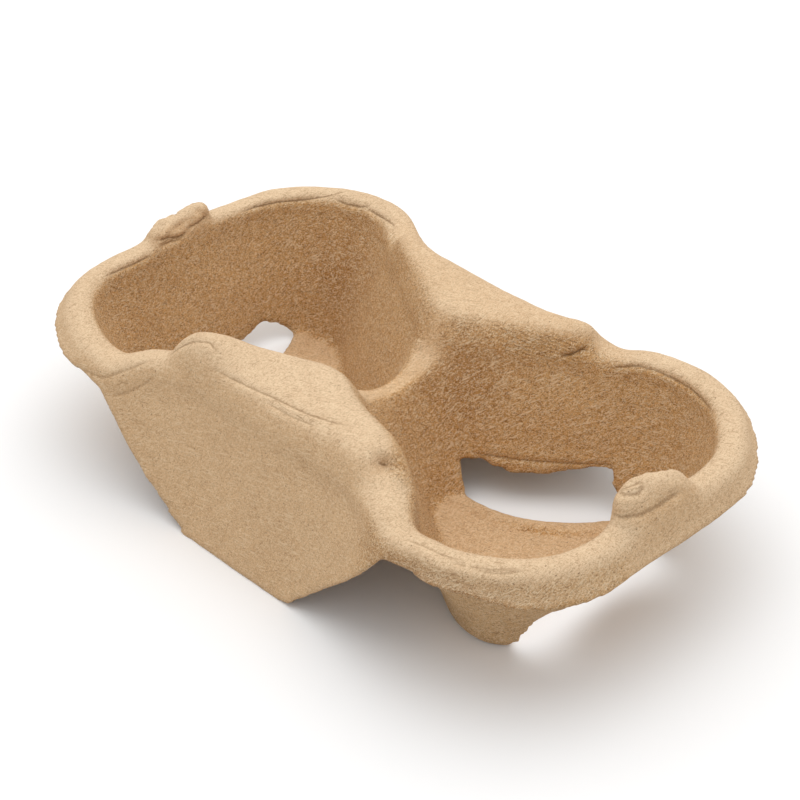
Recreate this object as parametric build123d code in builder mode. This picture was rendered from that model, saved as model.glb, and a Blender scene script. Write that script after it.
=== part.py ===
from build123d import *
import os
from math import acos, atan2, cos, degrees, hypot, pi, radians, sin, tan

os.makedirs("parts", exist_ok=True)

# Two-cup carrier moulded in one from paper pulp: millimetres, +Z up, length along X.
# The origin is on the table, under the middle of the divider.

# Pulp and draft
wall = 2.0
draft = 18.0
overrun = 4.0

# Heights: the rim round the cups, and what stands above and below it
rim_z = 43.5
flange_drop = 6.0
ridge_rise = 7.5
ridge_sag = 2.6
tab_rise = 5.0
saddle_drop = 12.0
neck_drop = 2.5
pocket_over = 5.0

# Outer wall: four corner circles, with the flange round the cups and the aprons at the waist
arc_x = 63.0
arc_in = 40.5
flange_radius = 38.5
waist_half = 60.0
waist_flat = 18.0
apron_foot = 21.0
apron_top_x = 56.0
apron_keep = 10.0
apron_foot_fillet = 5.0
apron_top_fillet = 14.0
lip_out = 1.5
lip_high = 1.5
lip_run = 16.0
core_in = 7.5

# Top line: ridges along the waist, finger tabs at the ends, and the rounding of both
ridge_half = 37.0
step_run = 3.0
tab_half = 9.0
tab_run = 3.0
tab_in = 17.0
crest_fillet = 3.8
crest_hollow_fillet = 1.2
brim_fillet = 2.4
corner_fillet = 4.4

# Cup pockets: corner circles inside those of the outer wall, and a nose circle towards the divider.
# The walls are steeper above the neck; the top level is above the carrier.
pocket_draft = 21.0
neck_draft = 3.0
rim_in = 25.0
floor_fillet = 2.0
nose_x = 26.0
nose_radius = 6.5
nose_top_radius = 30.0
nose_past = 10.8
nose_lean = 30.0
end_share = 0.7
corner_shares = (0.12, 0.3, 0.5, 0.7, 0.9)
side_shares = (0.2, 0.5, 0.8)
nose_shares = (0.15, 0.55)

# Divider between the cups: a saddle slung between the two ridges, as round as the noses let it be
saddle_share = 0.7
shoulder_fillet = 3.0

# Windows in the pocket walls: one in a side and one in the end of each pocket, running on into the floor.
# Their far points are given from the corner circles.
window_z = 13.0
window_fillet = 3.0
window_out = 25.5
side_start = (19.0, 7.0)
side_middle = (42.5, 11.5)
side_end_in = 3.0
side_end_out = 7.5
side_back = (7.0, 20.0)
side_taper = 4.0
end_middle_out = 1.0
end_corner_out = (12.0, 10.5)
end_taper = 6.0
end_window_z = 15.0
end_window_dip = 8.5

# Raised beads that stiffen the floor along the windows
bead_width = 4.5
bead_high = 1.2
bead_fillet = 1.1

flange_z = rim_z - flange_drop
ridge_z = rim_z + ridge_rise
tab_z = rim_z + tab_rise
saddle_z = rim_z - saddle_drop
neck_z = rim_z - neck_drop
pocket_top_z = ridge_z + pocket_over
arc_y = waist_half - arc_in
core_radius = flange_radius - core_in
pocket_radius = flange_radius - rim_in
nose_top_x = nose_top_radius - nose_past
saddle_radius = nose_top_radius * saddle_share
tab_start = arc_x + tab_in
side_end = (arc_x - side_end_in, arc_y + side_end_out)
window_reach = arc_y + window_out
end_middle_x = arc_x + end_middle_out
end_corner = (arc_x + end_corner_out[0], arc_y + end_corner_out[1])
grow = 1 / cos(radians(draft))
slope = tan(radians(draft))
pocket_grow = 1 / cos(radians(pocket_draft))
pocket_slope = tan(radians(pocket_draft))
pocket_rise = pocket_top_z - wall
base_radius = flange_radius + flange_z * slope
far_x = arc_x + base_radius + overrun
far_y = arc_y + base_radius + overrun


def waist_radius(corner, half):
    """Radius of the hollow arc that joins a straight waist to a corner arc, both tangent."""
    run = arc_x - waist_flat
    rise = half - arc_y
    return (run ** 2 + rise ** 2 - corner ** 2) / (2 * (corner - rise))


def outer_outline(level, inset):
    """Face of the outer wall at a level, moved in by inset: round ends and a straight waist."""
    corner = base_radius - level * slope - inset
    half = waist_half - level * slope - inset
    hollow = waist_radius(corner, half)
    turn = degrees(atan2(half + hollow - arc_y, waist_flat - arc_x))
    with BuildSketch(Plane.XY.offset(level)) as face:
        with BuildLine():
            Line((arc_x + corner, 0), (arc_x + corner, arc_y))
            CenterArc((arc_x, arc_y), corner, 0, turn)
            CenterArc((waist_flat, half + hollow), hollow, turn - 180, 90 - turn)
            Line((waist_flat, half), (0, half))
            mirror(about=Plane.XZ)
            mirror(about=Plane.YZ)
        make_face()
    return face.sketch


def pocket_outline(level, inset):
    """Face of one pocket at a level: a smooth curve round two corner circles and a nose circle."""
    share = (level - wall) / pocket_rise
    neck = max(level - neck_z, 0)
    corner = pocket_radius + (level - neck - wall) * pocket_slope + inset * pocket_grow
    corner += neck * tan(radians(neck_draft))
    middle = nose_x + (nose_top_x - nose_x) * share
    nose = nose_radius + (nose_top_radius - nose_radius) * share + inset / cos(radians(nose_lean))
    run = arc_x - middle
    lean = atan2(arc_y, run) + acos((nose - corner) / hypot(run, arc_y))
    start = (arc_x + corner * cos(lean), arc_y + corner * sin(lean))
    finish = (middle + nose * cos(lean), nose * sin(lean))
    points = [(arc_x + corner, 0), (arc_x + corner, arc_y * end_share)]
    for share in corner_shares:
        turn = lean * share
        points.append((arc_x + corner * cos(turn), arc_y + corner * sin(turn)))
    for share in side_shares:
        along = (finish[0] - start[0], finish[1] - start[1])
        points.append((start[0] + along[0] * share, start[1] + along[1] * share))
    for share in nose_shares:
        turn = lean + (pi - lean) * share
        points.append((middle + nose * cos(turn), nose * sin(turn)))
    points.append((middle - nose, 0))
    with BuildSketch(Plane.XY.offset(level)) as face:
        with BuildLine():
            Spline(*points, tangents=[(0, 1), (0, -1)])
            mirror(about=Plane.XZ)
        make_face()
    return face.sketch


def pocket(inset):
    """Solid that fills one pocket, grown by inset, with its floor edge rounded."""
    with BuildPart() as hollow:
        add(pocket_outline(wall - inset, inset))
        add(pocket_outline(neck_z / 2, inset))
        add(pocket_outline(neck_z, inset))
        add(pocket_outline(pocket_top_z, inset))
        loft()
        fillet(hollow.faces().sort_by(Axis.Z)[0].edges(), floor_fillet + inset)
    return hollow.part


def crown(inset):
    """Solid that lies above the top line, lowered by inset."""
    rim = rim_z - inset
    ridge = ridge_z - inset
    half = ridge_half - inset
    with BuildPart() as above:
        with BuildSketch(Plane.XZ):
            with BuildLine():
                ThreePointArc((-half, ridge), (0, ridge - ridge_sag), (half, ridge))
                Polyline(
                    (half, ridge),
                    (half + step_run, rim),
                    (far_x, rim),
                    (far_x, pocket_top_z),
                    (-far_x, pocket_top_z),
                    (-far_x, rim),
                    (-half - step_run, rim),
                    (-half, ridge),
                )
            steps = make_face()
            fillet(steps.vertices().filter_by(lambda v: abs(v.X) < far_x - overrun), corner_fillet)
        extrude(amount=far_y, both=True)
        tab_side = tab_half - inset
        with BuildSketch(Plane.YZ.offset(tab_start), Plane.YZ.offset(-far_x)):
            with BuildLine():
                Polyline(
                    (-tab_side - tab_run, rim - overrun),
                    (-tab_side - tab_run, rim),
                    (-tab_side, tab_z - inset),
                    (tab_side, tab_z - inset),
                    (tab_side + tab_run, rim),
                    (tab_side + tab_run, rim - overrun),
                    close=True,
                )
            raised = make_face()
            fillet(raised.vertices().filter_by(lambda v: v.Y > rim - overrun / 2), corner_fillet)
        extrude(amount=far_x - tab_start, mode=Mode.SUBTRACT)
        with BuildSketch(Plane.YZ):
            with Locations((0, saddle_z + saddle_radius)):
                Circle(saddle_radius + inset)
        extrude(amount=half, both=True)
    return above.part


def mass(inset, below, crest, brim):
    """Carrier as if solid, with walls moved in, pockets grown and top lowered by inset."""
    with BuildPart() as lump:
        add(outer_outline(-below, inset * grow))
        extrude(amount=pocket_top_z + below, taper=draft)
        cup = pocket(inset)
        add(cup, mode=Mode.SUBTRACT)
        add(mirror(cup, about=Plane.YZ, mode=Mode.PRIVATE), mode=Mode.SUBTRACT)
        add(crown(inset), mode=Mode.SUBTRACT)
        across = lump.faces().filter_by(GeomType.CYLINDER).sort_by(Axis.Z)[0].edges().sort_by(Axis.Y)
        fillet([across[0], across[-1]], shoulder_fillet - inset)
        if brim > 0:
            brims = lump.faces().filter_by(GeomType.BSPLINE).edges()
            fillet(brims.filter_by(lambda e: e.center().Z > saddle_z / 2), brim)
        sides = lump.faces().filter_by(lambda f: f.bounding_box().min.Z < wall / 2)
        fillet(sides.edges().filter_by(lambda e: e.center().Z > flange_z), crest)
    return lump.part


def skirt_trim():
    """Solid that takes the outer wall away below the flange and beside the aprons."""
    reach = far_x + overrun
    with BuildPart() as trim:
        with BuildSketch(Plane.XZ):
            with BuildLine():
                Polyline(
                    (apron_foot - apron_keep, -overrun),
                    (apron_foot - apron_keep, 0),
                    (apron_foot, 0),
                    (apron_top_x, flange_z),
                    (reach, flange_z),
                    (reach, -overrun),
                    close=True,
                )
            below = make_face()
            fillet(below.vertices().filter_by(lambda v: v.X == apron_foot), apron_foot_fillet)
            fillet(below.vertices().filter_by(lambda v: v.X == apron_top_x), apron_top_fillet)
            mirror(about=Plane.YZ)
        extrude(amount=far_y + overrun, both=True)
        with BuildSketch(Plane.XY.offset(-overrun)):
            RectangleRounded(2 * (arc_x + core_radius), 2 * (arc_y + core_radius), core_radius)
        extrude(amount=flange_z + 2 * overrun, mode=Mode.SUBTRACT)
    return trim.part


def flange_lip():
    """Thin lip that stands out from the lower edge of the flange and dies away towards the aprons."""
    edge = arc_y + flange_radius
    with BuildPart() as lip:
        add(outer_outline(flange_z, -lip_out))
        extrude(amount=lip_high)
        add(outer_outline(flange_z, wall / 2))
        extrude(amount=lip_high, mode=Mode.SUBTRACT)
        with BuildSketch(Plane.XY.offset(flange_z)):
            with BuildLine():
                Polyline(
                    (0, 0),
                    (apron_top_x, edge - lip_out),
                    (apron_top_x + lip_run, edge + lip_out),
                    (0, edge + lip_out),
                    close=True,
                )
            make_face()
            mirror(about=Plane.XZ)
            mirror(about=Plane.YZ)
        extrude(amount=lip_high, mode=Mode.SUBTRACT)
    return lip.part


def side_outline(level, taper):
    """Face of a side window at a level; taper draws it back from the outer corner."""
    corner = (side_end[0] - taper, side_end[1])
    with BuildSketch(Plane.XY.offset(level)) as face:
        with BuildLine():
            ThreePointArc(side_start, side_middle, corner)
            Polyline(corner, (corner[0], window_reach), side_back, side_start)
        make_face()
    return face.sketch


def side_window():
    """Solid that cuts the window in the side of one pocket."""
    with BuildPart() as gap:
        add(side_outline(-overrun, 0))
        add(side_outline(window_z, side_taper))
        loft(ruled=True)
        fillet(gap.faces().sort_by(Axis.Z)[-1].edges(), window_fillet)
    return gap.part


def end_window():
    """Solid that cuts the window in the end of one pocket, with its upper edge hanging in the middle."""
    low = end_corner[1]
    high = end_corner[1] - end_taper
    with BuildPart() as gap:
        with BuildSketch(Plane.YZ):
            with BuildLine():
                sag = (0, end_window_z - end_window_dip)
                ThreePointArc((-high, end_window_z), sag, (high, end_window_z))
                Polyline((high, end_window_z), (low, -overrun), (-low, -overrun), (-high, end_window_z))
            arch = make_face()
            fillet(arch.vertices().sort_by(Axis.Y)[-2:], window_fillet)
        extrude(amount=far_x)
        with BuildSketch(Plane.XY.offset(-overrun)):
            with BuildLine():
                ThreePointArc((end_corner[0], -low), (end_middle_x, 0), (end_corner[0], low))
                Polyline((end_corner[0], low), (far_x, low), (far_x, -low), (end_corner[0], -low))
            make_face()
        extrude(amount=end_window_z + 2 * overrun, mode=Mode.INTERSECT)
    return gap.part


def floor_beads():
    """Beads along the floor edges of both windows of one pocket; the window cuts trim their far sides."""
    with BuildPart() as beads:
        with BuildSketch(Plane.XY.offset(wall / 2)):
            with BuildLine() as side_edge:
                ThreePointArc(side_start, side_middle, side_end)
            trace(side_edge.line, 2 * bead_width)
            with BuildLine() as end_edge:
                ThreePointArc((end_corner[0], -end_corner[1]), (end_middle_x, 0), end_corner)
            trace(end_edge.line, 2 * bead_width)
        extrude(amount=wall / 2 + bead_high)
        fillet(beads.faces().sort_by(Axis.Z)[-1].edges(), bead_fillet)
        add(pocket(wall / 2), mode=Mode.INTERSECT)
    return beads.part


with BuildPart() as pulp_carrier:
    add(mass(0, 0, crest_fillet, brim_fillet))
    add(mass(wall, overrun, crest_hollow_fillet, 0), mode=Mode.SUBTRACT)
    add(skirt_trim(), mode=Mode.SUBTRACT)
    add(flange_lip())
    with PolarLocations(0, 2):
        add(floor_beads())
        add(side_window(), mode=Mode.SUBTRACT)
        add(end_window(), mode=Mode.SUBTRACT)

pulp_carrier.part.label = "pulp_carrier"
export_step(pulp_carrier.part, "parts/pulp_carrier.step")
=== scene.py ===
import math

import bmesh
import bpy
import numpy as np
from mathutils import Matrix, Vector, noise


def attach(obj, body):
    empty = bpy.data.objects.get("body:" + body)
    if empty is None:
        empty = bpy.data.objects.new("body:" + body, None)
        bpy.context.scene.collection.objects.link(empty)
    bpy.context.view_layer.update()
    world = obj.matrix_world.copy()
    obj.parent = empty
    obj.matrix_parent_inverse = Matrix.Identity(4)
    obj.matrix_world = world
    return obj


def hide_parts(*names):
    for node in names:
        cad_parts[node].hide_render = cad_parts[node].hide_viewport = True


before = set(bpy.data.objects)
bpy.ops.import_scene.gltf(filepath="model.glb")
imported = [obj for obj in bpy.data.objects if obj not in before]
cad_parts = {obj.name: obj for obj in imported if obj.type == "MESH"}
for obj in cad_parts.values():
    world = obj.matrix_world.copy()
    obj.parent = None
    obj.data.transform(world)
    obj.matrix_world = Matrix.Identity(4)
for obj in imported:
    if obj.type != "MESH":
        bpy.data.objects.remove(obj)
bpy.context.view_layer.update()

MM = 0.001
X, Y, Z = range(3)

# Camera that matches the photograph, in millimetres and degrees
CAMERA_AZIMUTH = 45.6
CAMERA_ELEVATION = 35.2
CAMERA_DISTANCE = 560.0
CAMERA_TARGET = (0.9, 2.5, 26.5)
CAMERA_LENS = 89.3
CAMERA_NEAR = 10.0
SENSOR = 36.0

# Studio, in metres and watts: the table, with one colour for the camera and one for all other rays, the glow
# and the lamp
TABLE_HALF = 3.0
TABLE_COLOUR = (0.6, 0.6, 0.6, 1.0)
TABLE_COLOUR_SEEN = (0.92, 0.92, 0.92, 1.0)
GLOW_COLOUR = (1.0, 1.0, 1.0, 1.0)
GLOW_STRENGTH = 0.82
LAMP_PLACE = (-0.14, 0.14, 1.0)
LAMP_SIZE = 1.3
LAMP_POWER = 6.4

# Pulp shell, in millimetres
MERGE_GAP = 0.02
SHELL_VOXEL = 1.12
WALL = 2.0
POCKET_X = 56.0
TINY = 1e-6

# Smoothing of the skin: how far a point goes towards its neighbours in a pass, the heights between which the
# rim gets softer, the distances from the middle between which the ridges do, and how far both are filled out
# again
SETTLE_PASSES = 5
SETTLE_SHARES = (0.5, -0.52)
SOFT_SHARE = 0.5
SOFT_TOP = (36.0, 42.0)
SOFT_TOP_PASSES = 10
SOFT_TOP_FILL = 0.35
SOFT_RIDGE = (46.0, 38.0)
SOFT_RIDGE_PASSES = 22
SOFT_RIDGE_FILL = 0.5

# Torn pulp left hanging in two windows: points on the wall above it, points along its torn edge, and the way
# from its inner to its outer face
FLAP_ROWS = 2
TORN_FLAPS = (
    ("pocket A end window",
     ((-78.3, 4.2, 7.1), (-79.2, 10.8, 9.3), (-80.0, 15.8, 11.4), (-81.0, 20.9, 14.3), (-79.9, 25.0, 13.7),
      (-76.8, 27.6, 9.1), (-75.6, 28.1, 7.2)),
     ((-78.0, 11.0, 5.6), (-78.3, 15.0, 6.6), (-78.6, 18.3, 7.5), (-78.6, 20.8, 8.2), (-77.7, 22.6, 6.6),
      (-76.7, 24.8, 6.3), (-75.8, 25.4, 5.0)),
     (-0.88, 0.3, -0.37)),
    ("pocket B side window",
     ((16.6, 8.8, 14.3), (20.0, 11.5, 14.0), (23.6, 13.9, 14.0), (27.2, 16.2, 14.0), (30.7, 18.6, 13.9),
      (34.2, 21.1, 14.1), (37.5, 23.7, 14.2), (40.9, 26.2, 14.0), (44.8, 29.0, 14.3), (48.8, 32.0, 14.5),
      (52.8, 34.6, 14.6)),
     ((18.1, 9.0, 12.5), (20.7, 10.8, 12.0), (23.3, 13.0, 12.7), (25.3, 13.4, 11.3), (28.9, 15.4, 10.6),
      (31.6, 16.6, 9.5), (35.5, 19.9, 10.2), (39.1, 22.6, 10.0), (42.3, 25.7, 11.1), (47.4, 30.0, 12.7),
      (52.4, 33.9, 13.7)),
     (-0.53, 0.75, -0.4)),
)

# Where this carrier is bent from its mould's form, in millimetres: centre, reach along each axis and move
PULLS = (
    ("pocket A end", (-99.0, -16.0, 42.0), (16.0, 26.0, 14.0), (3.2, 0.0, 0.0)),
    ("pocket A end rim", (-97.0, 24.0, 43.0), (10.0, 12.0, 8.0), (1.4, -0.6, -0.8)),
    ("pocket A back rim", (-52.0, 53.0, 43.0), (15.0, 9.0, 9.0), (0.3, 2.4, 1.2)),
    ("pocket A far rim", (-72.0, 55.0, 43.0), (16.0, 12.0, 9.0), (0.0, 0.8, 0.8)),
    ("back ridge", (4.0, 46.0, 49.0), (42.0, 9.0, 8.0), (0.0, -1.7, -1.6)),
    ("back ridge, near pocket A", (-28.0, 46.0, 48.0), (10.0, 8.0, 7.0), (0.0, -0.8, -0.9)),
    ("back ridge end", (40.0, 45.0, 47.0), (6.0, 8.0, 6.0), (-2.0, 0.0, -0.2)),
    ("back ridge foot", (42.5, 47.0, 45.0), (4.0, 8.0, 5.0), (0.0, -0.4, -1.3)),
    ("front ridge, inner side", (31.0, -33.5, 44.0), (13.0, 9.0, 11.0), (2.6, 3.8, 0.0)),
    ("pocket B shoulder", (45.0, -40.0, 38.0), (12.0, 9.0, 10.0), (2.2, 3.4, 0.0)),
    ("pocket B far rim", (89.0, 47.0, 42.0), (16.0, 16.0, 10.0), (-0.4, -0.6, 0.0)),
    ("pocket B end", (102.0, 12.0, 40.0), (10.0, 20.0, 10.0), (0.9, 0.4, 0.0)),
    ("front ridge nose", (-29.0, -38.0, 51.0), (10.0, 10.0, 8.0), (0.0, 0.0, 3.2)),
    ("front ridge edge", (-12.0, -32.0, 50.0), (12.0, 8.0, 6.0), (0.0, 0.0, 1.3)),
    ("leg, front", (58.0, -37.0, 9.0), (10.0, 8.0, 12.0), (0.9, 1.0, 0.0)),
    ("leg, end", (83.0, -25.0, 13.0), (9.0, 9.0, 12.0), (-1.0, -0.8, 0.0)),
    ("window B start", (19.0, 7.0, 8.0), (4.0, 5.0, 8.0), (1.5, 0.8, 0.0)),
    ("window B finish", (59.0, 31.5, 13.0), (5.0, 7.0, 6.0), (-4.6, -3.0, 0.0)),
    ("tab A corner", (-95.0, 9.0, 47.5), (5.0, 4.0, 4.0), (0.0, 1.5, 1.5)),
    ("tab B top", (95.0, -2.0, 48.0), (8.0, 11.0, 4.0), (-1.4, -1.2, 4.0)),
    ("tab B side", (94.0, -12.0, 46.0), (7.0, 6.0, 4.0), (-1.0, -3.5, 1.0)),
    ("tab B middle", (93.5, -6.0, 48.0), (6.0, 6.0, 4.0), (-0.8, 0.0, 1.4)),
    ("dimple", (38.2, -42.2, 47.2), (2.6, 2.6, 2.6), (-2.0, 1.0, -1.8)),
)

# The mould's trim line: on the table as far as TRIM_FOOT from the middle, then sloping up to the distance
# and height in TRIM_TOP
TRIM_FOOT = 21.0
TRIM_TOP = (56.0, 37.5)
# Where the trimmed edge hangs below that line: the axis it runs along, the axis and the two places between
# which the hang begins, how high above the edge it dies away, how far the edge moves for each millimetre of
# drop, and its drop at places along it
HEM_START = 0.5
HEMS = (
    ("apron's edges", X, (Y, -43.0, -50.0), 20.0, (-0.1, -0.3, -1.0),
     ((-86.0, 1.0), (-70.0, 2.6), (-60.0, 4.8), (-54.0, 6.0), (-43.0, 7.0), (-37.0, 6.8), (-31.0, 5.0),
      (-24.0, 2.0), (-18.0, 0.2), (24.0, 0.0), (32.0, 1.3), (42.0, 2.8), (50.0, 3.0), (57.0, 1.8),
      (66.0, 0.4))),
    ("flange along pocket B", X, (Y, -40.0, -48.0), 6.0, (0.0, 0.9, -0.45),
     ((56.0, 0.0), (66.0, 1.8), (88.0, 1.8), (98.0, 0.4))),
    ("flange at the end of pocket B", Y, (X, 78.0, 92.0), 7.0, (0.0, 0.0, -1.0),
     ((-54.0, 1.0), (-41.0, 3.4), (-28.0, 3.3), (-11.0, 3.0), (10.0, 2.9), (30.0, 2.7), (43.0, 2.6),
      (56.0, 0.0))),
)

# Creases in the pulp: how deep each one is pressed, and points along it, in millimetres
CREASES = (
    ("pocket A back rim", 0.5,
     ((-92.0, 21.8, 42.7), (-90.5, 28.7, 42.4), (-86.8, 35.8, 42.0), (-81.6, 41.6, 42.2),
      (-76.6, 46.7, 43.3), (-72.5, 52.4, 43.4))),
    ("pocket A back rim, second", 0.5,
     ((-74.5, 46.8, 43.0), (-70.6, 47.4, 42.2), (-65.9, 48.4, 42.3), (-61.6, 49.7, 43.2))),
    ("pocket A back rim, third", 0.5,
     ((-62.8, 48.7, 42.6), (-56.6, 48.0, 42.8), (-50.5, 47.5, 43.4), (-47.6, 46.8, 43.5))),
    ("pocket A end rim", 0.45,
     ((-89.9, -31.1, 42.8), (-91.4, -24.6, 42.0), (-91.7, -18.7, 41.9), (-91.9, -12.8, 42.1))),
    ("tab A fold", 0.6,
     ((-93.2, -10.5, 45.2), (-92.1, -6.6, 44.8), (-91.7, -1.9, 43.4), (-91.7, 1.3, 43.7))),
    ("tab A low fold", 0.4,
     ((-92.2, -10.5, 43.5), (-91.7, -6.1, 43.4), (-91.5, -0.6, 42.6))),
    ("tab A edge", 0.5,
     ((-92.0, 1.5, 44.5), (-92.0, 3.9, 44.6), (-92.1, 7.0, 44.7), (-92.5, 9.9, 44.8))),
    ("flange A", 0.22,
     ((-64.4, -58.1, 38.9), (-56.2, -56.3, 40.4), (-47.3, -52.7, 42.1), (-42.4, -48.5, 43.3))),
    ("flange A low", 0.22,
     ((-52.0, -56.4, 37.1), (-47.4, -54.8, 37.2), (-43.3, -52.6, 38.2), (-40.1, -50.6, 40.5))),
    ("front ridge nose", 0.35,
     ((-40.5, -46.5, 44.1), (-35.5, -45.7, 48.8), (-31.7, -43.5, 50.2), (-27.8, -41.5, 50.0),
      (-22.8, -42.2, 49.4))),
    ("front ridge line", 0.35,
     ((-24.0, -46.0, 48.0), (-11.0, -44.2, 48.8), (1.0, -42.3, 49.0), (12.0, -41.2, 49.0),
      (20.0, -40.0, 49.4), (26.0, -38.5, 49.4))),
    ("front ridge line, low", 0.25,
     ((-2.0, -45.3, 48.5), (8.0, -44.6, 48.5), (17.0, -43.5, 49.0))),
    ("dimple", 0.5,
     ((37.6, -42.8, 47.6), (38.8, -41.6, 47.0))),
    ("near rim B", 0.25,
     ((59.7, -53.4, 43.4), (65.9, -52.7, 43.5), (71.2, -52.0, 43.5), (77.3, -49.6, 43.5))),
    ("near rim B, middle", 0.3,
     ((73.5, -52.6, 43.3), (78.2, -50.6, 43.3), (83.3, -47.3, 43.3), (88.0, -42.7, 43.4))),
    ("near rim B, low", 0.3,
     ((81.5, -49.7, 43.0), (86.2, -46.0, 43.1), (89.4, -41.6, 43.4))),
    ("back ridge fold", 0.6,
     ((32.1, 34.1, 41.6), (34.8, 36.2, 42.7), (37.3, 38.5, 44.7), (39.1, 39.6, 44.4))),
    ("pocket B back rim", 0.38,
     ((42.6, 40.1, 40.0), (46.6, 42.8, 41.1), (51.2, 45.7, 42.3), (56.0, 47.4, 42.1), (61.7, 48.1, 41.7),
      (67.1, 47.8, 41.7), (73.8, 45.9, 41.5), (79.8, 42.5, 41.6))),
    ("window B", 0.3,
     ((18.4, 10.1, 13.6), (22.5, 13.0, 13.6), (30.8, 18.5, 13.2), (41.2, 25.9, 13.5), (51.4, 33.3, 14.3),
      (53.9, 35.1, 14.6), (56.8, 34.9, 11.3))),
    ("tab B foot", 0.4,
     ((93.0, -11.5, 44.8), (96.5, -11.0, 45.0), (98.8, -8.5, 45.2), (99.3, -4.0, 45.3), (99.2, 1.0, 45.5),
      (98.8, 5.5, 45.8))),
    ("tab B lens, upper", 0.38,
     ((93.3, -8.6, 47.3), (95.0, -7.3, 48.4), (96.2, -4.5, 48.3), (96.9, -4.3, 48.0))),
    ("tab B lens, lower", 0.38,
     ((93.3, -8.6, 47.3), (95.6, -8.8, 47.7), (97.3, -7.1, 47.8), (96.9, -4.3, 48.0))),
    ("divider A", 0.1,
     ((-45.7, 41.8, 39.3), (-49.5, 39.9, 29.6), (-52.0, 36.2, 19.2), (-54.8, 32.9, 8.3))),
)
# A crease is pressed only into faces turned this far towards the camera, and dies away at its ends
CREASE_FACING = -0.15
CREASE_FADE = 6.0
# How far from it points are looked at, its width, and how near it the skin gets smaller faces
CREASE_REACH = 6.0
CREASE_WIDTH = 0.6
CREASE_FINE = 1.2
# Pulp pushed up beside a crease: its share of the depth, and its place and width in crease widths
BANK_HEIGHT = 0.45
BANK_PLACE = 2.4
BANK_WIDTH = 1.4

# Finger tabs: the distances from the middle and the heights between which they begin, and how far a point
# has to belong to one to get smaller faces
TAB_X = (86.0, 91.0)
TAB_Y = (13.0, 10.0)
TAB_Z = (43.5, 46.0)
TAB_FINE = 0.35

# Waves of the skin, each with its height and length in millimetres and its seed, and how far seeds lie apart
SEED_STEP = (17.3, 5.1, 9.7)
SWELLS = ((0.3, 22.0, 1), (0.14, 7.0, 2), (0.09, 2.6, 3))
TAB_CRUMPLES = ((1.0, 5.0, 4), (0.4, 2.4, 7))
TAB_SINK = 0.32
TAB_A_CRUMPLE = 1.5
TAB_B_CRUMPLE = 0.9
RAGGED_WAVES = ((1.0, 4.0, 5), (1.1, 1.7, 6))
# How sharply the skin bends at a torn edge, and how ragged that is in the windows at the back and elsewhere
TORN_BEND = (0.2, 0.42)
RAGGED_WINDOW = 0.5
RAGGED_EDGE = 0.2
WINDOW_TOP = 17.0

# The felted inside, whose browner colour is partly painted shade: how far a face is turned to the pocket's
# middle, and how high the felt goes, which is higher at the ridges
FELT_FACING = (0.1, 0.5)
FELT_TOP = 42.5
FELT_TOP_FADE = 2.0
FELT_RIDGE_RISE = 5.5
FELT_RIDGE_X = (48.0, 40.0)
# Painted shade on the outer face of pocket B's front, given as the felt's colour and fibres, less so below
# the flange
FRONT_X = (40.0, 52.0)
FRONT_Y = (-12.0, -24.0)
FRONT_FACING = (-0.1, -0.5)
FRONT_TOP = (43.5, 41.0)
FRONT_LOW = (34.0, 32.0)
FRONT_FELT_AND_SHADE = 0.7
FRONT_LOW_LOSS = 0.25
# Painted highlight on upturned faces near the top, less so on the back ridge, and pale at torn edges
PAINTED_HIGHLIGHT_FACING = (0.3, 0.95)
PAINTED_HIGHLIGHT_HEIGHT = (30.0, 42.0)
PAINTED_HIGHLIGHT_BACK_LOSS = 0.4
PAINTED_HIGHLIGHT_BACK_X = (55.0, 40.0)
PAINTED_HIGHLIGHT_BACK_Y = (15.0, 30.0)
TORN_PALE = 0.6

# Fine wrinkles under the back ridge, on the side of pocket B: their centre and reach
WRINKLE_PLACE = (26.0, 33.0, 44.0)
WRINKLE_REACH = (13.0, 8.0, 4.5)
# Painted shade in the back corners of the pockets, beside the divider, where the felted inside is made
# browner
PAINTED_CORNER_SHADE_PLACES = (
    ((-65.0, 41.0, 23.0), (14.0, 12.0, 18.0)),
    ((12.0, 16.0, 30.0), (13.0, 14.0, 18.0)),
)
PAINTED_CORNER_SHADE_SHARE = 0.75
# Painted shade on the outside, at the flange along pocket B and the dimple: centre, reach and share of its
# colour
PAINTED_SHADE_PLACES = (
    ("flange along pocket B", (70.0, -50.0, 37.5), (24.0, 18.0, 5.2), 0.9),
    ("dimple", (38.2, -42.2, 46.5), (3.0, 3.0, 3.0), 0.6),
)

# Colours of the pulp: outside, on the felted inside (partly painted shade), the painted highlight on
# upturned faces and pale torn edges, the painted shade in corners and on the outside, then those of the
# flour, fibres, specks and the painted shade along creases on it
PULP_COLOUR = (0.67, 0.445, 0.25)
FELT_AND_SHADE_COLOUR = (0.68, 0.395, 0.165)
HIGHLIGHT_AND_TORN_COLOUR = (0.73, 0.535, 0.345)
PAINTED_CORNER_SHADE_COLOUR = (0.5, 0.25, 0.085)
PAINTED_SHADE_COLOUR = (0.48, 0.276, 0.138)
FLOUR_COLOUR = (0.80, 0.62, 0.42)
PALE_FIBRE_COLOUR = (0.84, 0.66, 0.44)
SPECK_COLOUR = (0.15, 0.075, 0.035)
CREASE_SHADE_COLOUR = (0.2, 0.105, 0.042)
# Tints that darken the colour below them
CLOUD_TINT = (0.72, 0.66, 0.6)
MOTTLE_TINT = (0.70, 0.63, 0.55)
DARK_FIBRE_TINT = (0.42, 0.34, 0.26)

# Noise in the pulp: scale for each millimetre, detail, roughness and distortion
CLOUD = (0.05, 4.0, 0.6, 0.4)
BLOTCH = (0.22, 3.0, 0.55, 0.6)
GRAIN = (1.3, 6.0, 0.75, 0.0)
FINE_GRAIN = (3.0, 4.0, 0.7, 0.0)
FIBRE_NOISE = (1.0, 1.0, 0.5, 0.7)
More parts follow.
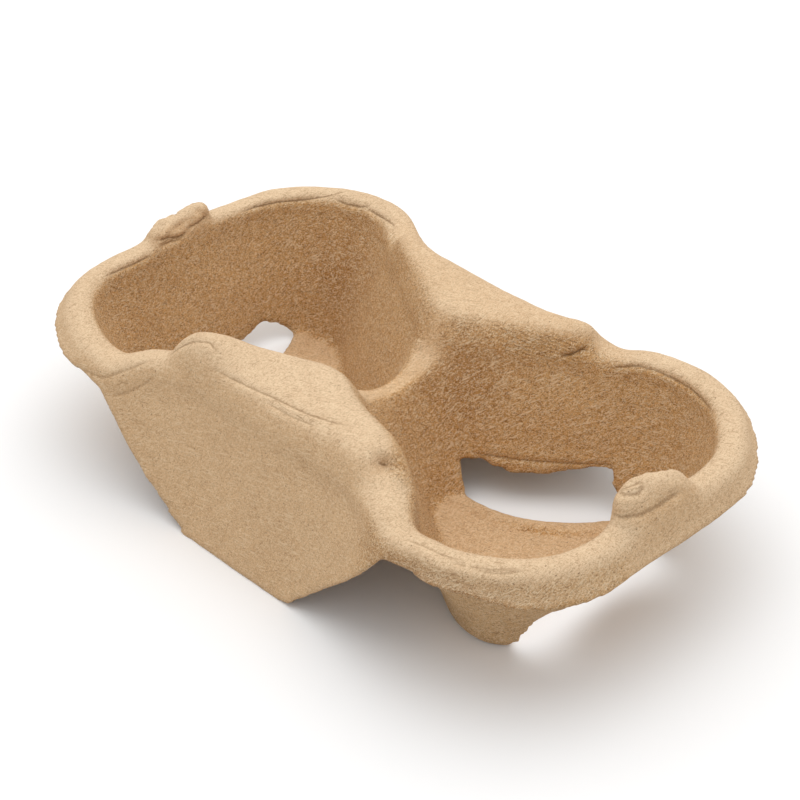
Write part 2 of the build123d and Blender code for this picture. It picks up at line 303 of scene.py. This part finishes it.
# Fibres: the ways they lie, their width and length in millimetres, and the noise between which one begins
PALE_FIBRES = (
    ((0.2, 1.4, 0.3), (1.3, 0.4, 0.2), (0.7, 0.9, 1.6), (-0.8, 0.6, 0.4)), 0.34, 3.6, (0.6, 0.66),
)
DARK_FIBRES = (
    ((-0.3, 1.2, 1.1), (1.0, -0.5, 0.6), (0.4, 0.8, -0.9), (1.5, 0.2, 2.0)), 0.34, 3.2, (0.61, 0.68),
)
FIBRE_STEP = (7.1, 3.3, 5.7)
PALE_FIBRE_SHARE = 0.7
DARK_FIBRE_SHARE = 0.8

# Mottling: the noise between which each pattern begins, and its share of the colour
CLOUD_BEGIN = (0.3, 0.7)
CLOUD_SHARE = 0.2
BLOTCH_BEGIN = (0.35, 0.68)
BLOTCH_SHARE = 0.2
MOTTLE_BEGIN = (0.62, 0.36)
MOTTLE_SHARE = 0.6
FLOUR_BEGIN = (0.55, 0.78)
FLOUR_SHARE = 0.3

# Specks: cells for each millimetre, their move, turn and stretch, the speck's size and which cells have one
SPECK_SCALE = 0.6
SPECK_MOVE = ((1, 4, 2), (0.3, 0.7, 0.2), (1.0, 1.6, 1.0))
SPECK_SIZE = (0.14, 0.06)
SPECK_CHOICE = (0.7, 0.76)
SPECK_SHARE = 0.7

# Painted shade line along a crease, in millimetres: how far it is shaken, its half width, its strength for
# each millimetre of depth, the noise that breaks it, and its share of the colour
LINE_SHAKE = 1.3
LINE_WIDTH = (0.5, 0.05)
LINE_STRENGTH = 1.8
LINE_BREAKS = (0.25, 0.5)
CREASE_SHADE_SHARE = 0.8

# Relief of the pulp: heights of its patterns, waves of the wrinkles up and along, and the bump's depth
GRAIN_HEIGHT = 0.6
FINE_HEIGHT = 0.4
FIBRE_HEIGHT = 0.35
WRINKLE_HEIGHT = 0.8
WRINKLE_UP = 7.0
WRINKLE_ALONG = 1.6
WRINKLE_SHAKE = 9.0
BUMP_DEPTH = 0.5
# Strengths on the plain outside and on the felt
FIBRES_LAID = (0.6, 1.0)
MOTTLE_ROUGH = (0.28, 1.0)
BUMP_STRENGTH = (0.28, 0.6)
# Finish of the pulp
PULP_SPECULAR = 0.15
PULP_ROUGHNESS = 0.95


def view_back():
    """Direction from the carrier towards the camera."""
    azimuth = math.radians(CAMERA_AZIMUTH)
    elevation = math.radians(CAMERA_ELEVATION)
    return Vector((
        math.sin(azimuth) * math.cos(elevation),
        -math.cos(azimuth) * math.cos(elevation),
        math.sin(elevation),
    ))


def hang_flap(bm, above, torn, outward):
    """Adds a sheet that hangs from the wall down to a torn edge, as thick as the wall."""
    sheet = bmesh.ops.create_grid(bm, x_segments=len(above) - 1, y_segments=FLAP_ROWS, size=1.0)["verts"]
    sheet.sort(key=lambda v: (round(v.co.x, 4), round(v.co.y, 4)))
    rows = len(sheet) // len(above)
    for index, vert in enumerate(sheet):
        column, row = divmod(index, rows)
        vert.co = Vector(above[column]).lerp(Vector(torn[column]), row / (rows - 1)) * MM
    faces = list({face for vert in sheet for face in vert.link_faces})
    raised = bmesh.ops.extrude_face_region(bm, geom=faces)
    grown = [item for item in raised["geom"] if isinstance(item, bmesh.types.BMVert)]
    bmesh.ops.translate(bm, verts=grown, vec=Vector(outward) * WALL * MM)
    skin = list({face for vert in sheet + grown for face in vert.link_faces})
    bmesh.ops.recalc_face_normals(bm, faces=skin)


def pulp_blank(node, name):
    """New object with the carrier's solid as an even skin of small faces."""
    bm = bmesh.new()
    bm.from_mesh(node.data)
    bmesh.ops.remove_doubles(bm, verts=bm.verts, dist=MERGE_GAP * MM)
    for _, above, torn, outward in TORN_FLAPS:
        hang_flap(bm, above, torn, outward)
    mesh = bpy.data.meshes.new(name)
    bm.to_mesh(mesh)
    bm.free()
    piece = bpy.data.objects.new(name, mesh)
    bpy.context.scene.collection.objects.link(piece)
    even = piece.modifiers.new("even skin", "REMESH")
    even.mode = "VOXEL"
    even.voxel_size = SHELL_VOXEL * MM
    even.use_smooth_shade = True
    bpy.context.view_layer.update()
    evaluated = piece.evaluated_get(bpy.context.evaluated_depsgraph_get())
    skin = bpy.data.meshes.new_from_object(evaluated)
    piece.modifiers.remove(even)
    piece.data = skin
    bpy.data.meshes.remove(mesh)
    return piece


def smooth_step(values, low, high):
    """Soft step from 0 at low to 1 at high."""
    share = np.clip((values - low) / (high - low), 0, 1)
    return share * share * (3 - 2 * share)


def nearness(places, centre, reach):
    """How near each point is to a centre: 1 there, and dying away over the reach along each axis."""
    return np.exp(-(((places - np.array(centre)) / np.array(reach)) ** 2).sum(1))


def skin_arrays(piece):
    """Places and normals of the skin's points, in millimetres."""
    count = len(piece.data.vertices)
    places = np.zeros(count * 3, np.float32)
    piece.data.vertices.foreach_get("co", places)
    normals = np.zeros(count * 3, np.float32)
    piece.data.vertex_normals.foreach_get("vector", normals)
    return places.reshape(-1, 3).astype(float) / MM, normals.reshape(-1, 3).astype(float)


def put_places(piece, places):
    """Gives the skin's points new places, in millimetres."""
    piece.data.vertices.foreach_set("co", (places * MM).astype(np.float32).ravel())
    piece.data.update()


def neighbour_mean(piece):
    """Function that gives the mean place of each point's neighbours on the skin."""
    count = len(piece.data.vertices)
    ends = np.zeros(len(piece.data.edges) * 2, np.int32)
    piece.data.edges.foreach_get("vertices", ends)
    ends = ends.reshape(-1, 2)
    near = np.bincount(ends.ravel(), minlength=count)

    def mean(values):
        total = np.zeros_like(values)
        for axis in range(values.shape[1]):
            total[:, axis] = (np.bincount(ends[:, 0], values[ends[:, 1], axis], count)
                              + np.bincount(ends[:, 1], values[ends[:, 0], axis], count))
        return total / near[:, None]
    return mean


def settle(piece):
    """Takes the steps out of the even skin without shrinking it, then rounds the rim and the ridges."""
    mean = neighbour_mean(piece)
    places, _ = skin_arrays(piece)
    for _ in range(SETTLE_PASSES):
        for share in SETTLE_SHARES:
            places = places + share * (mean(places) - places)
    top = smooth_step(places[:, Z], *SOFT_TOP)[:, None]
    for _ in range(SOFT_TOP_PASSES):
        places = places + SOFT_SHARE * top * (mean(places) - places)
    ridge = top * smooth_step(np.abs(places[:, X]), *SOFT_RIDGE)[:, None]
    for _ in range(SOFT_RIDGE_PASSES):
        places = places + SOFT_SHARE * ridge * (mean(places) - places)
    put_places(piece, places)
    places, normals = skin_arrays(piece)
    put_places(piece, places + (SOFT_TOP_FILL * top + SOFT_RIDGE_FILL * ridge) * normals)


def wander(places, wave, seed):
    """Smooth random value for each point, from about -1 to 1, that changes over a wave length."""
    shift = Vector([seed * step for step in SEED_STEP])
    return np.array([noise.noise(Vector(p) / wave + shift) for p in places])


def crease_field(places, normals):
    """Signed distance of each point to the nearest crease, and how deep that crease is there."""
    facing = normals @ np.array(view_back()) > CREASE_FACING
    nearest = np.full(len(places), CREASE_REACH)
    depth = np.zeros(len(places))
    for _, pressed, points in CREASES:
        line = np.array(points)
        lengths = np.linalg.norm(np.diff(line, axis=0), axis=1)
        along = np.concatenate(([0.0], np.cumsum(lengths)))
        for index, length in enumerate(lengths):
            start = line[index]
            run = (line[index + 1] - start) / length
            offset = places - start
            share = np.clip(offset @ run, 0, length)
            gap = offset - share[:, None] * run
            flat = gap - (gap * normals).sum(1)[:, None] * normals
            apart = np.linalg.norm(flat, axis=1)
            close = facing & (np.linalg.norm(gap, axis=1) < CREASE_REACH) & (apart < np.abs(nearest))
            side = np.sign((flat * np.cross(normals, run)).sum(1))
            reached = (along[index] + share) / along[-1]
            fade = np.clip(np.minimum(reached, 1 - reached) * CREASE_FADE, 0, 1)
            nearest = np.where(close, apart * np.where(side == 0, 1, side), nearest)
            depth = np.where(close, pressed * fade, depth)
    return nearest, depth


def tab_share(places):
    """How far each point belongs to one of the two finger tabs, from 0 to 1."""
    share = smooth_step(np.abs(places[:, X]), *TAB_X) * smooth_step(places[:, Z], *TAB_Z)
    return share * smooth_step(np.abs(places[:, Y]), *TAB_Y)


def refine(piece):
    """Gives the skin smaller faces along the creases and on the tabs."""
    places, normals = skin_arrays(piece)
    distance, depth = crease_field(places, normals)
    chosen = ((np.abs(distance) < CREASE_FINE) & (depth > 0)) | (tab_share(places) > TAB_FINE)
    bm = bmesh.new()
    bm.from_mesh(piece.data)
    bm.verts.ensure_lookup_table()
    edges = [e for e in bm.edges if chosen[e.verts[0].index] and chosen[e.verts[1].index]]
    bmesh.ops.subdivide_edges(bm, edges=edges, cuts=1, use_grid_fill=True)
    bm.to_mesh(piece.data)
    bm.free()


def swell_of(places, distance, depth, torn):
    """How far each point stands out from the smooth skin: waves, crumpled tabs, creases and ragged edges."""
    crumple = sum(size * np.abs(wander(places, wave, seed)) for size, wave, seed in TAB_CRUMPLES) - TAB_SINK
    crumple *= np.where(places[:, X] < 0, TAB_A_CRUMPLE, TAB_B_CRUMPLE)
    swell = sum(size * wander(places, wave, seed) for size, wave, seed in SWELLS)
    swell += tab_share(places) * crumple
    swell -= depth * np.exp(-(distance / CREASE_WIDTH) ** 2)
    beside = (np.abs(distance) - BANK_PLACE * CREASE_WIDTH) / (BANK_WIDTH * CREASE_WIDTH)
    swell += BANK_HEIGHT * depth * np.exp(-beside ** 2)
    in_window = (places[:, Z] < WINDOW_TOP) & (places[:, Y] > 0)
    ragged = torn * np.where(in_window, RAGGED_WINDOW, RAGGED_EDGE)
    swell += ragged * sum(size * wander(places, wave, seed) for size, wave, seed in RAGGED_WAVES)
    return swell


def hem_move(places):
    """How far each point moves because the trimmed edge below it hangs lower."""
    slope = TRIM_TOP[1] / (TRIM_TOP[0] - TRIM_FOOT)
    edge = np.clip((np.abs(places[:, X]) - TRIM_FOOT) * slope, 0, TRIM_TOP[1])
    move = np.zeros_like(places)
    for _, run, (across, start, full), height, way, hang in HEMS:
        drop = np.interp(places[:, run], [at for at, down in hang], [down for at, down in hang])
        above = smooth_step(places[:, Z] - edge, HEM_START, height)
        drop *= smooth_step(places[:, across], start, full) * (1 - above)
        move += drop[:, None] * np.array(way)
    return move


def felt_and_shade_of(places, normals):
    """How felted each point is in the pockets, its colour partly painted shade, and painted shade on pocket
    B's outer front.
    """
    middle = np.where(places[:, X] > 0, POCKET_X, -POCKET_X)
    inward = np.stack((middle - places[:, X], -places[:, Y]), 1)
    inward /= np.linalg.norm(inward, axis=1)[:, None] + TINY
    facing = (inward * normals[:, :2]).sum(1)
    top = FELT_TOP + FELT_RIDGE_RISE * smooth_step(np.abs(places[:, X]), *FELT_RIDGE_X)
    inside = smooth_step(facing, *FELT_FACING)
    inside *= smooth_step(top - places[:, Z], -FELT_TOP_FADE, FELT_TOP_FADE)
    front = smooth_step(places[:, X], *FRONT_X) * smooth_step(places[:, Y], *FRONT_Y)
    front *= smooth_step(facing, *FRONT_FACING)
    face = smooth_step(places[:, Z], *FRONT_TOP)
    low = smooth_step(places[:, Z], *FRONT_LOW)
    return np.maximum(inside, front * (FRONT_FELT_AND_SHADE * face - FRONT_LOW_LOSS * low))


def painted_highlight_of(places, normals):
    """How far each point gets the painted highlight of upturned faces near the top."""
    painted_highlight = smooth_step(normals[:, Z], *PAINTED_HIGHLIGHT_FACING) * smooth_step(places[:, Z], *PAINTED_HIGHLIGHT_HEIGHT)
    back = smooth_step(places[:, Y], *PAINTED_HIGHLIGHT_BACK_Y) * smooth_step(np.abs(places[:, X]), *PAINTED_HIGHLIGHT_BACK_X)
    return painted_highlight * (1 - PAINTED_HIGHLIGHT_BACK_LOSS * back)


def press(piece):
    """Gives the skin this carrier's bends, waves and creases, and the values that its material reads."""
    places, normals = skin_arrays(piece)
    distance, depth = crease_field(places, normals)
    bend = np.linalg.norm(neighbour_mean(piece)(places) - places, axis=1)
    torn = smooth_step(bend, *TORN_BEND)
    pressed = places + swell_of(places, distance, depth, torn)[:, None] * normals
    for _, centre, reach, move in PULLS:
        pressed += nearness(places, centre, reach)[:, None] * np.array(move)
    put_places(piece, pressed + hem_move(places))
    # Felt in the pockets, its colour partly painted shade, and painted shade on pocket B's outer front
    felt_and_shade = felt_and_shade_of(places, normals)
    values = {
        "crease_distance": distance,
        "crease_depth": depth,
        "felt_and_shade": felt_and_shade,
        # Painted highlight on upturned faces near the top
        "painted_highlight": painted_highlight_of(places, normals),
        "torn": torn,
        "wrinkle": felt_and_shade * nearness(places, WRINKLE_PLACE, WRINKLE_REACH),
        # Painted shade in the back corners of the pockets
        "painted_corner_shade": felt_and_shade * sum(nearness(places, centre, reach) for centre, reach in PAINTED_CORNER_SHADE_PLACES),
        # Painted shade on the flange along pocket B and in the dimple
        "dark": sum(share * nearness(places, centre, reach) for _, centre, reach, share in PAINTED_SHADE_PLACES),
    }
    for name, at_points in values.items():
        layer = piece.data.attributes.new(name, "FLOAT", "POINT")
        layer.data.foreach_set("value", at_points.astype(np.float32))


def add_node(tree, kind, **settings):
    """New shader node with its plain settings made."""
    made = tree.nodes.new(kind)
    for key, value in settings.items():
        setattr(made, key, value)
    return made


def skin_value(tree, name):
    """Output of a value that the skin carries at its points."""
    return add_node(tree, "ShaderNodeAttribute", attribute_name=name).outputs["Fac"]


def math_node(tree, operation, first, second=None, clamp=False):
    """Output of a maths node on sockets or plain numbers."""
    made = add_node(tree, "ShaderNodeMath", operation=operation, use_clamp=clamp)
    for socket, value in zip(made.inputs, (first, second)):
        if value is None:
            continue
        if isinstance(value, (int, float)):
            socket.default_value = value
        else:
            tree.links.new(value, socket)
    return made.outputs[0]


def times(tree, first, second):
    """Output of one value times another."""
    return math_node(tree, "MULTIPLY", first, second)


def plus(tree, first, second):
    """Output of one value plus another."""
    return math_node(tree, "ADD", first, second)


def by_felt(tree, felt_and_shade, plain, felted):
    """Value that goes from plain outside to felted on the felt."""
    return plus(tree, times(tree, felt_and_shade, felted - plain), plain)


def noise_node(tree, vector, scale, detail, roughness, distortion):
    """Output of a noise texture."""
    made = add_node(tree, "ShaderNodeTexNoise")
    made.inputs["Scale"].default_value = scale
    made.inputs["Detail"].default_value = detail
    made.inputs["Roughness"].default_value = roughness
    made.inputs["Distortion"].default_value = distortion
    tree.links.new(vector, made.inputs["Vector"])
    return made.outputs["Fac"]


def spread(tree, value, low, high):
    """Value stretched so that low becomes 0 and high becomes 1."""
    made = add_node(tree, "ShaderNodeMapRange", interpolation_type="SMOOTHSTEP")
    made.inputs["From Min"].default_value = low
    made.inputs["From Max"].default_value = high
    tree.links.new(value, made.inputs["Value"])
    return made.outputs["Result"]


def mix_colour(tree, share, first, second, blend="MIX"):
    """Output of a colour mix on sockets or plain colours."""
    made = add_node(tree, "ShaderNodeMix", data_type="RGBA", blend_type=blend)
    for socket, value in ((made.inputs[0], share), (made.inputs[6], first), (made.inputs[7], second)):
        if isinstance(value, (int, float, tuple)):
            socket.default_value = value if not isinstance(value, tuple) else (*value, 1.0)
        else:
            tree.links.new(value, socket)
    return made.outputs[2]


def tinted(tree, share, colour, tint):
    """Colour darkened by a share of a tint."""
    return mix_colour(tree, share, colour, mix_colour(tree, 1.0, colour, tint, "MULTIPLY"))


def moved(tree, vector, place, turn, stretch):
    """Coordinates moved and turned, so that a pattern is stretched along the turned axes."""
    made = add_node(tree, "ShaderNodeMapping", vector_type="TEXTURE")
    made.inputs["Location"].default_value = place
    made.inputs["Rotation"].default_value = turn
    made.inputs["Scale"].default_value = stretch
    tree.links.new(vector, made.inputs["Vector"])
    return made.outputs["Vector"]


def fibres(tree, vector, turns, width, length, begin):
    """Short fibres lying in several directions, as a value from 0 to 1."""
    total = 0.0
    for index, turn in enumerate(turns):
        place = tuple(index * step for step in FIBRE_STEP)
        laid = moved(tree, vector, place, turn, (width, width, length))
        total = math_node(tree, "MAXIMUM", total, spread(tree, noise_node(tree, laid, *FIBRE_NOISE), *begin))
    return total


def pulp_colour(tree, felt_and_shade):
    """Plain colour of the pulp: felted with partly painted shade, painted shade in corners and outside,
    painted highlight on upturned faces, and pale at torn edges.
    """
    # Felt colour, partly painted shade
    colour = mix_colour(tree, felt_and_shade, PULP_COLOUR, FELT_AND_SHADE_COLOUR)
    # Painted shade in the back corners of the pockets
    colour = mix_colour(tree, times(tree, skin_value(tree, "painted_corner_shade"), PAINTED_CORNER_SHADE_SHARE), colour, PAINTED_CORNER_SHADE_COLOUR)
    # Painted shade on the flange along pocket B and in the dimple
    colour = mix_colour(tree, skin_value(tree, "dark"), colour, PAINTED_SHADE_COLOUR)
    torn = times(tree, skin_value(tree, "torn"), TORN_PALE)
    # Painted highlight on upturned faces, joined with the real pale of torn edges
    highlight_and_torn = math_node(tree, "MAXIMUM", skin_value(tree, "painted_highlight"), torn)
    return mix_colour(tree, highlight_and_torn, colour, HIGHLIGHT_AND_TORN_COLOUR)


def mottled(tree, colour, grid, felt_and_shade, grain, fine):
    """Colour with soft clouds and blotches, darker grain that is stronger on the felt, and pale flour."""
    cloud = times(tree, spread(tree, noise_node(tree, grid, *CLOUD), *CLOUD_BEGIN), CLOUD_SHARE)
    blotch = times(tree, spread(tree, noise_node(tree, grid, *BLOTCH), *BLOTCH_BEGIN), BLOTCH_SHARE)
    colour = tinted(tree, plus(tree, cloud, blotch), colour, CLOUD_TINT)
    rough = times(tree, by_felt(tree, felt_and_shade, *MOTTLE_ROUGH), MOTTLE_SHARE)
    colour = tinted(tree, times(tree, spread(tree, grain, *MOTTLE_BEGIN), rough), colour, MOTTLE_TINT)
    return mix_colour(tree, times(tree, spread(tree, fine, *FLOUR_BEGIN), FLOUR_SHARE), colour, FLOUR_COLOUR)


def specked(tree, colour, grid):
    """Colour with a few dark specks."""
    specks = add_node(tree, "ShaderNodeTexVoronoi", feature="F1")
    specks.inputs["Scale"].default_value = SPECK_SCALE
    tree.links.new(moved(tree, grid, *SPECK_MOVE), specks.inputs["Vector"])
    chosen = add_node(tree, "ShaderNodeSeparateColor")
    tree.links.new(specks.outputs["Color"], chosen.inputs[0])
    near = spread(tree, specks.outputs["Distance"], *SPECK_SIZE)
    speck = times(tree, near, spread(tree, chosen.outputs[0], *SPECK_CHOICE))
    return mix_colour(tree, times(tree, speck, SPECK_SHARE), colour, SPECK_COLOUR)


def crease_line(tree, grain, fine):
    """Thin broken line along each crease, as a value from 0 to 1: painted shade in the colour and a groove
    in the bump.
    """
    shake = times(tree, math_node(tree, "SUBTRACT", grain, 0.5), LINE_SHAKE)
    shaken = plus(tree, skin_value(tree, "crease_distance"), shake)
    line = spread(tree, math_node(tree, "ABSOLUTE", shaken), *LINE_WIDTH)
    pressed = math_node(tree, "MULTIPLY", skin_value(tree, "crease_depth"), LINE_STRENGTH, clamp=True)
    return times(tree, times(tree, line, pressed), spread(tree, fine, *LINE_BREAKS))


def fine_wrinkles(tree, grid, grain):
    """Shaken waves under the back ridge."""
    axes = add_node(tree, "ShaderNodeSeparateXYZ")
    tree.links.new(grid, axes.inputs[0])
    up = times(tree, axes.outputs["Z"], WRINKLE_UP)
    along = times(tree, axes.outputs["X"], WRINKLE_ALONG)
    shaken = plus(tree, plus(tree, up, along), times(tree, grain, WRINKLE_SHAKE))
    return times(tree, math_node(tree, "SINE", shaken), skin_value(tree, "wrinkle"))


def kraft_pulp():
    """Brown moulded paper pulp: matt and mottled, with fibres, dark specks, painted shade and painted
    highlight, rougher in the pockets.
    """
    material = bpy.data.materials.new("kraft_pulp")
    material.use_nodes = True
    tree = material.node_tree
    tree.nodes.clear()
    output = add_node(tree, "ShaderNodeOutputMaterial")
    shader = add_node(tree, "ShaderNodeBsdfPrincipled")
    tree.links.new(shader.outputs[0], output.inputs["Surface"])
    shader.inputs["Specular IOR Level"].default_value = PULP_SPECULAR
    shader.inputs["Roughness"].default_value = PULP_ROUGHNESS
    place = add_node(tree, "ShaderNodeTexCoord").outputs["Object"]
    grid = moved(tree, place, (0, 0, 0), (0, 0, 0), (MM, MM, MM))
    # Felt, its colour partly painted shade, and painted shade on pocket B's outer front
    felt_and_shade = skin_value(tree, "felt_and_shade")
    grain = noise_node(tree, grid, *GRAIN)
    fine = noise_node(tree, grid, *FINE_GRAIN)
    laid = by_felt(tree, felt_and_shade, *FIBRES_LAID)
    pale = times(tree, fibres(tree, grid, *PALE_FIBRES), laid)
    dark = times(tree, fibres(tree, grid, *DARK_FIBRES), laid)
    line = crease_line(tree, grain, fine)

    colour = mottled(tree, pulp_colour(tree, felt_and_shade), grid, felt_and_shade, grain, fine)
    colour = tinted(tree, times(tree, dark, DARK_FIBRE_SHARE), colour, DARK_FIBRE_TINT)
    colour = mix_colour(tree, times(tree, pale, PALE_FIBRE_SHARE), colour, PALE_FIBRE_COLOUR)
    colour = specked(tree, colour, grid)
    # Painted shade along the creases
    colour = mix_colour(tree, times(tree, line, CREASE_SHADE_SHARE), colour, CREASE_SHADE_COLOUR)
    tree.links.new(colour, shader.inputs["Base Color"])

    height = plus(tree, times(tree, grain, GRAIN_HEIGHT), times(tree, fine, FINE_HEIGHT))
    height = plus(tree, height, times(tree, pale, FIBRE_HEIGHT))
    height = math_node(tree, "SUBTRACT", height, times(tree, dark, FIBRE_HEIGHT))
    height = math_node(tree, "SUBTRACT", height, line)
    height = plus(tree, height, times(tree, fine_wrinkles(tree, grid, grain), WRINKLE_HEIGHT))
    bump = add_node(tree, "ShaderNodeBump")
    bump.inputs["Distance"].default_value = BUMP_DEPTH * MM
    tree.links.new(by_felt(tree, felt_and_shade, *BUMP_STRENGTH), bump.inputs["Strength"])
    tree.links.new(height, bump.inputs["Height"])
    tree.links.new(bump.outputs[0], shader.inputs["Normal"])
    return material


def plain_shader(tree, kind, **inputs):
    """Output of a new shader node with plain values for its inputs."""
    made = add_node(tree, kind)
    for key, value in inputs.items():
        made.inputs[key].default_value = value
    return made.outputs[0]


def show_by_ray(tree, output, for_others, for_camera):
    """Joins two shaders to an output: one for what the camera sees itself, one for all other rays."""
    choice = add_node(tree, "ShaderNodeMixShader")
    seen = add_node(tree, "ShaderNodeLightPath")
    tree.links.new(seen.outputs["Is Camera Ray"], choice.inputs[0])
    tree.links.new(for_others, choice.inputs[1])
    tree.links.new(for_camera, choice.inputs[2])
    tree.links.new(choice.outputs[0], output.inputs["Surface"])


def studio_floor():
    """White table that shows the carrier's soft shadow and is white to the camera beyond it."""
    bm = bmesh.new()
    bmesh.ops.create_grid(bm, x_segments=1, y_segments=1, size=TABLE_HALF)
    mesh = bpy.data.meshes.new("studio_floor")
    bm.to_mesh(mesh)
    bm.free()
    floor = bpy.data.objects.new("studio_floor", mesh)
    bpy.context.scene.collection.objects.link(floor)
    material = bpy.data.materials.new("white_table")
    material.use_nodes = True
    tree = material.node_tree
    tree.nodes.clear()
    output = add_node(tree, "ShaderNodeOutputMaterial")
    plain = plain_shader(tree, "ShaderNodeBsdfDiffuse", Color=TABLE_COLOUR)
    seen = plain_shader(tree, "ShaderNodeBsdfDiffuse", Color=TABLE_COLOUR_SEEN)
    show_by_ray(tree, output, plain, seen)
    mesh.materials.append(material)


def soft_lamp(name, place, target, size, power):
    """Large square lamp that points at a target."""
    lamp = bpy.data.lights.new(name, "AREA")
    lamp.shape = "SQUARE"
    lamp.size = size
    lamp.energy = power
    holder = bpy.data.objects.new(name, lamp)
    holder.location = place
    holder.rotation_mode = "QUATERNION"
    holder.rotation_quaternion = (Vector(target) - Vector(place)).to_track_quat("-Z", "Y")
    bpy.context.scene.collection.objects.link(holder)


def studio_light():
    """Soft light from above and a little behind the carrier, with an even glow all round."""
    world = bpy.data.worlds.new("studio_glow")
    world.use_nodes = True
    tree = world.node_tree
    tree.nodes.clear()
    output = add_node(tree, "ShaderNodeOutputWorld")
    glow = plain_shader(tree, "ShaderNodeBackground", Color=GLOW_COLOUR, Strength=GLOW_STRENGTH)
    white = plain_shader(tree, "ShaderNodeBackground", Color=GLOW_COLOUR)
    show_by_ray(tree, output, glow, white)
    bpy.context.scene.world = world
    soft_lamp("top_lamp", LAMP_PLACE, (0, 0, 0), LAMP_SIZE, LAMP_POWER)


def camera():
    """Camera at the photograph's angle."""
    data = bpy.data.cameras.new("camera")
    data.lens = CAMERA_LENS
    data.sensor_width = SENSOR
    data.clip_start = CAMERA_NEAR * MM
    holder = bpy.data.objects.new("camera", data)
    back = view_back()
    holder.location = (Vector(CAMERA_TARGET) + back * CAMERA_DISTANCE) * MM
    holder.rotation_mode = "QUATERNION"
    holder.rotation_quaternion = (-back).to_track_quat("-Z", "Y")
    bpy.context.scene.collection.objects.link(holder)
    bpy.context.scene.camera = holder


shell = pulp_blank(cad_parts["pulp_carrier"], "moulded_shell")
settle(shell)
refine(shell)
press(shell)
shell.data.materials.clear()
shell.data.materials.append(kraft_pulp())
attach(shell, "root")
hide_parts("pulp_carrier")

studio_floor()
studio_light()
camera()
bpy.context.scene.view_settings.view_transform = "Standard"
